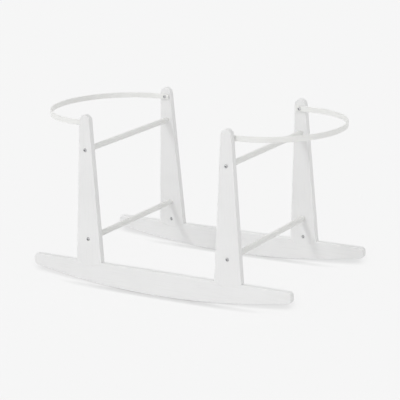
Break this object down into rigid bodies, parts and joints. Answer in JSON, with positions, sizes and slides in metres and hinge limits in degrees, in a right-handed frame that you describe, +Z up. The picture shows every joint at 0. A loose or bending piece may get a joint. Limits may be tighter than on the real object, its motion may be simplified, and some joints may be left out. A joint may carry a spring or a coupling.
{
  "type": "rocking moses basket stand",
  "caption": "White wooden rocking stand for a moses basket: curved rockers, tapered uprights, round crossbars, and a strap hoop at each end that swings on its bolts.",
  "frame": {"origin": "on the floor, midway between the two rockers and midway along them", "axes": "+X along the rockers to the right end, +Y from the front rocker to the rear one, +Z up"},
  "size_m": [0.8898, 0.4558, 0.4802],
  "materials": {
    "painted_wood": "white satin paint on smooth wood",
    "painted_strap": "white satin powder coat on flat steel strap",
    "steel": "zinc-plated, satin",
    "insert_brass": "plain machined",
    "pin_wood": "bare beech"
  },
  "bodies": {
    "stand": {"front_rocker": "painted_wood", "rear_rocker": "painted_wood", "front_left_upright": "painted_wood", "front_right_upright": "painted_wood", "rear_left_upright": "painted_wood", "rear_right_upright": "painted_wood", "left_upper_crossbar": "painted_wood", "left_lower_crossbar": "painted_wood", "right_upper_crossbar": "painted_wood", "right_lower_crossbar": "painted_wood", "front_left_upper_bolt": "steel", "front_left_lower_bolt": "steel", "front_right_upper_bolt": "steel", "front_right_lower_bolt": "steel", "rear_left_upper_bolt": "steel", "rear_left_lower_bolt": "steel", "rear_right_upper_bolt": "steel", "rear_right_lower_bolt": "steel", "front_left_upper_insert": "insert_brass", "front_left_lower_insert": "insert_brass", "front_right_upper_insert": "insert_brass", "front_right_lower_insert": "insert_brass", "rear_left_upper_insert": "insert_brass", "rear_left_lower_insert": "insert_brass", "rear_right_upper_insert": "insert_brass", "rear_right_lower_insert": "insert_brass", "front_left_hoop_bolt": "steel", "front_right_hoop_bolt": "steel", "rear_left_hoop_bolt": "steel", "rear_right_hoop_bolt": "steel", "front_left_hoop_insert": "insert_brass", "front_right_hoop_insert": "insert_brass", "rear_left_hoop_insert": "insert_brass", "rear_right_hoop_insert": "insert_brass", "front_left_rocker_bolt": "steel", "front_right_rocker_bolt": "steel", "rear_left_rocker_bolt": "steel", "rear_right_rocker_bolt": "steel", "front_left_barrel_nut": "steel", "front_right_barrel_nut": "steel", "rear_left_barrel_nut": "steel", "rear_right_barrel_nut": "steel", "front_left_locating_pins": "pin_wood", "front_right_locating_pins": "pin_wood", "rear_left_locating_pins": "pin_wood", "rear_right_locating_pins": "pin_wood"},
    "left_hoop": {"left_hoop": "painted_strap"},
    "right_hoop": {"right_hoop": "painted_strap"}
  },
  "joints": [
    {"name": "left_hoop_swing", "type": "hinge", "parent": "stand", "child": "left_hoop", "pos_m": [-0.221, 0, 0.45401], "axis": [0, 1, 0], "range_deg": [-76.5, 256.5]},
    {"name": "right_hoop_swing", "type": "hinge", "parent": "stand", "child": "right_hoop", "pos_m": [0.221, 0, 0.45401], "axis": [0, -1, 0], "range_deg": [-76.5, 256.5]}
  ]
}
